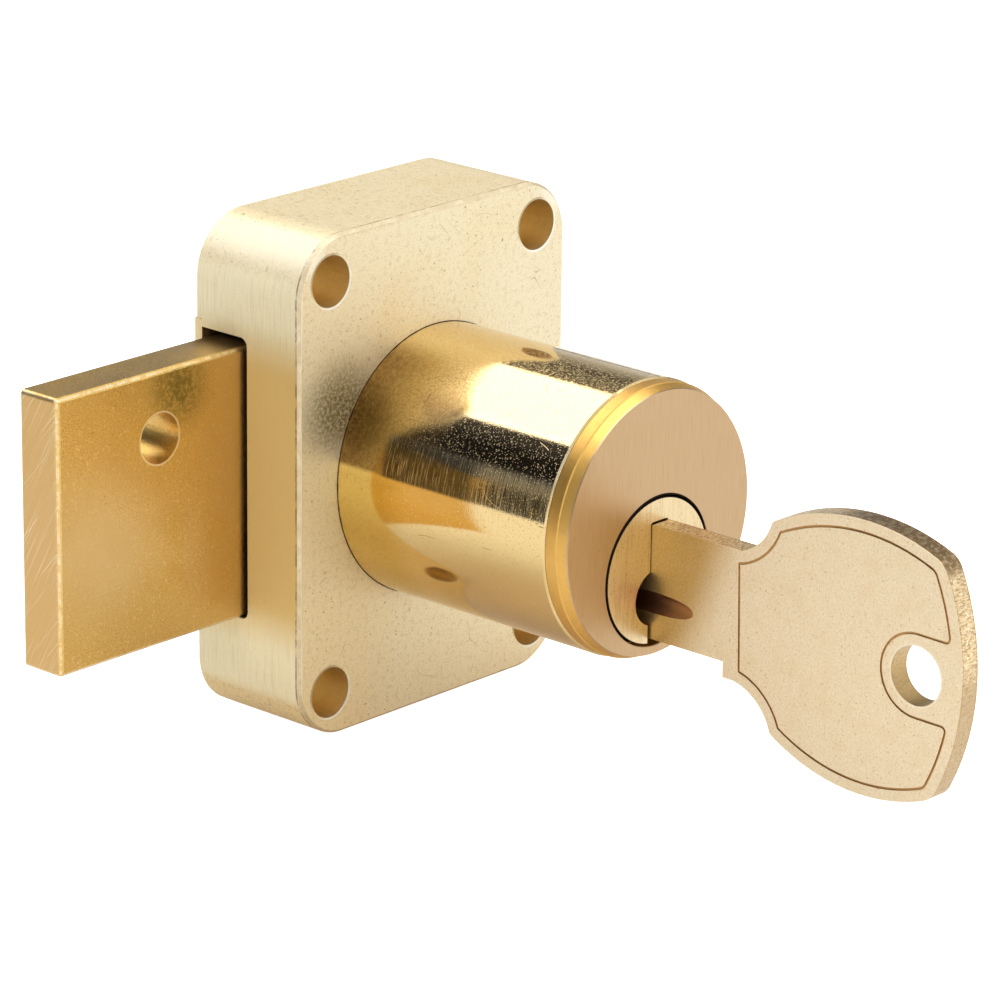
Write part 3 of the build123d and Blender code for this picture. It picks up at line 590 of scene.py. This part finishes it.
def head_metal(finish):
    """The head's face is brushed upright, and the rim is turned and yellower."""
    marks = brushed(finish, 0.10 * MM, 0.004 * MM)
    finish.tint(finish.window(marks, 0.40, 0.70, 0.0, 0.5), (0.50, 0.32, 0.16))
    finish.tint(finish.specks(0.25 * MM, 0.77), (0.36, 0.22, 0.10))
    side = finish.beyond(finish.y, HEAD_FACE + HEAD_SIDE)
    finish.tint(side, (0.77, 0.46, 0.12))
    finish.tint(finish.both(side, finish.mottle(0.7 * MM, 0.48, 0.66, 0.0, 0.35)), (0.62, 0.36, 0.10))
    finish.roughen(side, 0.42)
    rings = finish.noise(1.0, detail=2.0, place=finish.drawn_out((5 * MM, 0.08 * MM, 5 * MM)))
    finish.raise_by(finish.both(rings, side), 0.002 * MM)


def gap_round_plug(finish):
    """Painted shade makes the gap round the plug black, widest on the upper left."""
    gap = finish.from_axis(finish.x, finish.z, GAP_CENTRE.x, GAP_CENTRE.z)
    gap = finish.within(gap, PLUG_GAP_OUT)
    plug = finish.from_axis(finish.x, finish.z, 0.0, PLUG_Z)
    gap = finish.both(gap, finish.beyond(plug, PLUG_GAP_IN))
    # Painted shade in the gap
    finish.tint(gap, GAP_SHADE)
    finish.roughen(gap, 0.8)


def head_brass():
    """The cylinder's shell, of which the head shows."""
    finish = Finish("head_brass", (0.60, 0.412, 0.23), 0.36)
    head_metal(finish)
    gap_round_plug(finish)
    return finish.done()


def plug_brass():
    """The plug: coarser upright brush marks, with dark ones among them, and painted shade in its keyway and
    round its rim.
    """
    finish = Finish("plug_brass", (0.85, 0.68, 0.41), 0.36)
    marks = brushed(finish, 0.13 * MM, 0.006 * MM)
    finish.tint(finish.window(marks, 0.46, 0.70, 0.0, 0.5), (0.56, 0.39, 0.19))
    finish.tint(finish.mottle(0.2 * MM, 0.58, 0.70, 0.0, 0.5), (0.40, 0.26, 0.12))
    # Painted shade inside the keyway
    inside = finish.beyond(finish.y, PLUG_FACE + 0.3 * MM)
    finish.tint(finish.both(inside, 0.8), (0.30, 0.16, 0.06))
    # Painted shade in the gap round the plug
    gap = finish.beyond(finish.from_axis(finish.x, finish.z, 0.0, PLUG_Z), PLUG_GAP_IN - 0.08 * MM)
    finish.tint(gap, GAP_SHADE)
    finish.roughen(gap, 0.8)
    return finish.done()


def key_skin(finish):
    """Tumbled, matte and pale, with a fine stipple."""
    stipple = finish.noise(0.17 * MM, detail=3.0, rough=0.7)
    finish.raise_by(stipple, 0.014 * MM)
    finish.tint(finish.window(stipple, 0.49, 0.68, 0.0, 0.42), (0.58, 0.42, 0.22))
    finish.tint(finish.mottle(0.2 * MM, 0.57, 0.68, 0.0, 0.4), (1.0, 0.93, 0.74))
    finish.tint(finish.mottle(1.6 * MM, 0.48, 0.66, 0.0, 0.25), (0.80, 0.60, 0.34))
    finish.tint(finish.both(finish.specks(0.26 * MM, 0.70), 0.45), (0.42, 0.27, 0.12))


def key_painted_reflection(finish):
    """A painted reflection of the cylinder's face: a deeper gold on the key near it."""
    reach = finish.math("ADD", finish.y, finish.both(finish.z, REFLECTION_SLANT))
    reflected = finish.window(reach, REFLECTION_FROM, REFLECTION_FULL)
    reflected = finish.both(reflected, finish.mottle(0.16 * MM, 0.40, 0.62, 0.78, 1.0))
    # Painted reflection of the cylinder's face
    finish.tint(reflected, (0.59, 0.39, 0.13))


def key_cut(finish):
    """1 on the edges that were cut through the blank, and 0 on its faces."""
    return finish.within(finish.aside(finish.x, KEY_MIDDLE), KEY_HALF - SKIN)


def key_edge(finish):
    """The milled edge has lines across the blank's thickness, bright and dark in turn."""
    cut = key_cut(finish)
    mill = finish.drawn_out((0.5 * MM, 0.13 * MM, 0.13 * MM))
    mill = finish.noise(1.0, detail=4.0, rough=0.7, place=mill)
    finish.tint(cut, (0.93, 0.72, 0.42))
    finish.tint(finish.both(cut, finish.window(mill, 0.44, 0.62, 0.0, 0.8)), (0.40, 0.24, 0.10))
    finish.tint(finish.both(cut, finish.mottle(0.25 * MM, 0.55, 0.64)), (1.0, 0.88, 0.62))
    finish.raise_by(finish.both(cut, mill), 0.03 * MM)
    finish.roughen(cut, 0.34)
    # The crest is darker, and the foot duller
    crest = finish.both(cut, finish.beyond(finish.z, CREST_LOW, 0.5 * MM))
    crest = finish.both(crest, finish.within(finish.y, CREST_END, 1.5 * MM))
    finish.tint(finish.both(crest, finish.mottle(0.4 * MM, 0.36, 0.58, 0.55, 0.95)), (0.24, 0.15, 0.07))
    finish.tint(finish.both(cut, finish.window(finish.z, -7 * MM, -3 * MM, 0.7, 0.0)), (0.48, 0.33, 0.17))


def key_border(finish):
    """The engraved border is brown."""
    depth = finish.aside(finish.aside(finish.x, KEY_MIDDLE), KEY_HALF - BORDER_DEPTH)
    engraved = finish.within(depth, 0.025 * MM)
    finish.tint(finish.both(engraved, 0.9), (0.48, 0.25, 0.08))


def key_groove(finish):
    """The groove is bare coppery metal."""
    groove = finish.both(finish.within(finish.aside(finish.z, GROOVE_Z), 1.1 * GROOVE_R), key_cut(finish))
    groove = finish.both(groove, finish.within(finish.x, KEY_MIDDLE))
    groove = finish.both(groove, finish.beyond(finish.y, GROOVE_END))
    finish.tint(groove, (0.62, 0.33, 0.17))
    finish.roughen(groove, 0.3)


def key_eye(finish):
    """The eye's wall is darker and its rim brighter."""
    eye = finish.from_axis(finish.y, finish.z, KEY_EYE.y, KEY_EYE.z)
    wall = finish.both(finish.within(eye, KEY_EYE_R + 0.05 * MM), key_cut(finish))
    finish.tint(finish.both(wall, 0.6), (0.50, 0.33, 0.12))
    face = finish.beyond(finish.aside(finish.x, KEY_MIDDLE), KEY_HALF - SKIN)
    rim = finish.both(finish.within(eye, KEY_EYE_R + 0.18 * MM), face)
    finish.tint(finish.both(rim, 0.3), (1.0, 0.92, 0.76))


def key_brass():
    """The key's blank, cut and engraved."""
    finish = Finish("key_brass", (0.88, 0.73, 0.50), 0.42)
    for layer in (key_skin, key_painted_reflection, key_edge, key_border, key_groove, key_eye):
        layer(finish)
    return finish.done()


def plain_metal(name, colour, roughness):
    """A turned or rolled piece that is mostly out of sight."""
    finish = Finish(name, colour, roughness)
    grain = finish.noise(0.2 * MM, detail=3.0)
    finish.raise_by(grain, 0.003 * MM)
    dark = tuple(0.8 * part for part in colour)
    finish.tint(finish.window(grain, 0.5, 0.75, 0.0, 0.4), dark)
    return finish.done()


def dress(material, *names):
    """Gives these CAD nodes a material."""
    for name in names:
        for slot in NODES[name].material_slots:
            slot.material = material


def squash_springs():
    """Gives each pin spring a mesh of its own."""
    for number in range(1, 6):
        name = f"pin_spring_{number}"
        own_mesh(NODES[name])


def aim_camera():
    """The photograph's camera."""
    view = Vector((sin(CAMERA_TURN) * cos(CAMERA_DIP), cos(CAMERA_TURN) * cos(CAMERA_DIP), -sin(CAMERA_DIP)))
    level = view.cross(Vector((0, 0, 1))).normalized()
    rise = level.cross(view)
    right = level * cos(CAMERA_ROLL) + rise * sin(CAMERA_ROLL)
    up = right.cross(view)
    lens = bpy.data.cameras.new("photo_camera")
    lens.lens = CAMERA_LENS
    lens.sensor_width = SENSOR
    lens.clip_start = 0.01
    camera = bpy.data.objects.new("photo_camera", lens)
    bpy.context.scene.collection.objects.link(camera)
    turn = Matrix((right, up, -view)).transposed().to_4x4()
    camera.matrix_world = Matrix.Translation(CAMERA_PLACE) @ turn
    bpy.context.scene.camera = camera


def grey(power):
    """A grey light of this strength."""
    return (power, power, power, 1.0)


def grey_by_height(nodes, height, stops):
    """A ramp of greys over the height of a direction above the horizon."""
    made = nodes.node("ShaderNodeValToRGB", Fac=nodes.math("ADD", nodes.both(height, 0.5), 0.5))
    marks = made.color_ramp.elements
    for index, (angle, power) in enumerate(stops):
        mark = marks[index] if index < len(marks) else marks.new(1.0)
        mark.position = sin(radians(angle)) * 0.5 + 0.5
        mark.color = grey(power)
    return made.outputs[0]


def light_studio():
    """The surroundings by direction: what the polished sleeve in the photograph mirrors."""
    world = bpy.data.worlds.new("studio")
    bpy.context.scene.world = world
    world.use_nodes = True
    nodes = Nodes(world.node_tree)
    place = nodes.node("ShaderNodeTexCoord").outputs["Generated"]
    x, y, z = nodes.node("ShaderNodeSeparateXYZ", Vector=place).outputs
    above = nodes.either(z, HORIZON)
    across = nodes.math("DIVIDE", x, above)
    along = nodes.math("DIVIDE", y, above)

    def edge(place):
        return (place - PANEL_EDGE, place + PANEL_EDGE)

    wide = nodes.band(across, edge(PANEL_LEFT), edge(PANEL_RIGHT))
    deep = nodes.band(along, edge(PANEL_NEAR), edge(PANEL_FAR))
    panel = nodes.both(nodes.both(wide, deep), nodes.window(z, 2 * HORIZON, 5 * HORIZON))
    left = grey_by_height(nodes, z, BACK_LEFT)
    right = grey_by_height(nodes, z, BACK_RIGHT)
    back = nodes.blend(nodes.window(x, *BACK_TURN), left, right)
    front = nodes.blend(nodes.window(x, *FRONT_TURN), grey(FRONT_LEFT_POWER), grey(FRONT_RIGHT_POWER))
    room = nodes.blend(nodes.window(y, *FRONT_TO_BACK, 1.0, 0.0), back, front)
    light = nodes.blend(panel, room, grey(PANEL_POWER))
    nodes.put(world.node_tree.nodes["Background"].inputs["Color"], light)


def floor_paint():
    """White paper that shines a little by itself, and more where the camera looks straight at it."""
    paint = bpy.data.materials.new("floor_paint")
    paint.use_nodes = True
    nodes = Nodes(paint.node_tree)
    shader = paint.node_tree.nodes["Principled BSDF"]
    shader.inputs["Roughness"].default_value = 1.0
    shader.inputs["Specular IOR Level"].default_value = 0.0
    shader.inputs["Emission Color"].default_value = (1.0, 1.0, 1.0, 1.0)
    place = nodes.node("ShaderNodeTexCoord").outputs["Object"]
    depth = nodes.node("ShaderNodeSeparateXYZ", Vector=place).outputs["Y"]

    def ranged(value, low, high, start=0.0, end=1.0):
        return nodes.window(value, start, end, low, high, curve="LINEAR")

    # Where the table ends the metal mirrors a dark room, though the camera still sees white
    table = ranged(depth, 0.0, 1.0, TABLE_END, TABLE_END + TABLE_EDGE)
    white = ranged(table, FLOOR_WHITE, PAST_TABLE)
    # Close to the lock the paper is in shade, warmed by the brass
    away = nodes.node("ShaderNodeVectorMath")
    away.operation = "DISTANCE"
    nodes.put(away.inputs[0], place)
    away.inputs[1].default_value = SHADE_CENTRE
    close = ranged(away.outputs["Value"], 1.0, 0.0, SHADE_IN, SHADE_OUT)
    nodes.put(shader.inputs["Base Color"], nodes.blend(close, white, SHADE_COLOUR))
    glow = ranged(table, ranged(close, FLOOR_GLOW, SHADE_GLOW), 0.0)
    seen = ranged(table, FLOOR_SEEN_GLOW, PAST_TABLE_GLOW)
    camera = nodes.node("ShaderNodeLightPath").outputs["Is Camera Ray"]
    nodes.put(shader.inputs["Emission Strength"], ranged(camera, glow, seen))
    return paint


def lay_floor():
    """A white sweep under the lock."""
    bpy.ops.object.select_all(action="DESELECT")
    bpy.ops.mesh.primitive_plane_add(size=2 * FLOOR_HALF, location=(0, 0, CASE_LOW.z))
    floor = bpy.context.object
    floor.name = "floor"
    floor.data.materials.append(floor_paint())


aim_camera()
light_studio()
lay_floor()
bpy.context.scene.view_settings.view_transform = "Standard"

dress(case_brass(), "case")
dress(plate_brass(), "cover_plate")
dress(bolt_brass(), "bolt")
dress(polished_brass(), "cylinder_sleeve")
dress(head_brass(), "cylinder_shell")
dress(plug_brass(), "plug")
dress(key_brass(), "key")
dress(plain_metal("screw_brass", (0.80, 0.62, 0.33), 0.3), "cover_screws", "cylinder_screws", "plug_screw")
dress(plain_metal("inner_brass", (0.82, 0.62, 0.32), 0.3), "crank")
dress(plain_metal("pin_steel", (0.6, 0.6, 0.6), 0.25), "crank_pin")
dress(plain_metal("tumbler_brass", (0.82, 0.62, 0.32), 0.25),
      *[f"{kind}_pin_{number}" for kind in ("bottom", "driver") for number in range(1, 6)])
dress(plain_metal("spring_steel", (0.6, 0.6, 0.6), 0.25), *[f"pin_spring_{number}" for number in range(1, 6)])
squash_springs()
